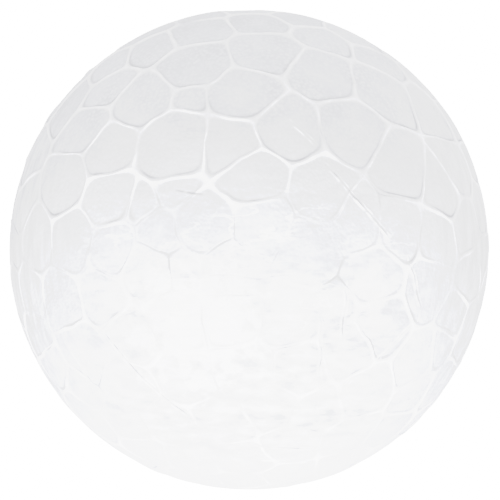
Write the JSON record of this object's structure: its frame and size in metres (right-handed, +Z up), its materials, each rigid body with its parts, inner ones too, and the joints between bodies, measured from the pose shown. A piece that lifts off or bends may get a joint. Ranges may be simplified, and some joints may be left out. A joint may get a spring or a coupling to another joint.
{
  "type": "foam ball",
  "caption": "White craft ball of expanded polystyrene foam, moulded in one solid piece, with a net of fine raised ridges round its fused beads.",
  "frame": {"origin": "centre of the ball", "axes": "+Z up and -Y towards the viewer of the picture, with +X to the viewer's right; the ball is round, so only the bead pattern tells the directions apart"},
  "size_m": [0.0299, 0.03, 0.0299],
  "materials": {
    "white_foam": "matt white expanded polystyrene foam, faintly translucent, with fine raised ridges between the fused beads"
  },
  "bodies": {
    "root": {"foam_ball": "white_foam"}
  },
  "joints": []
}
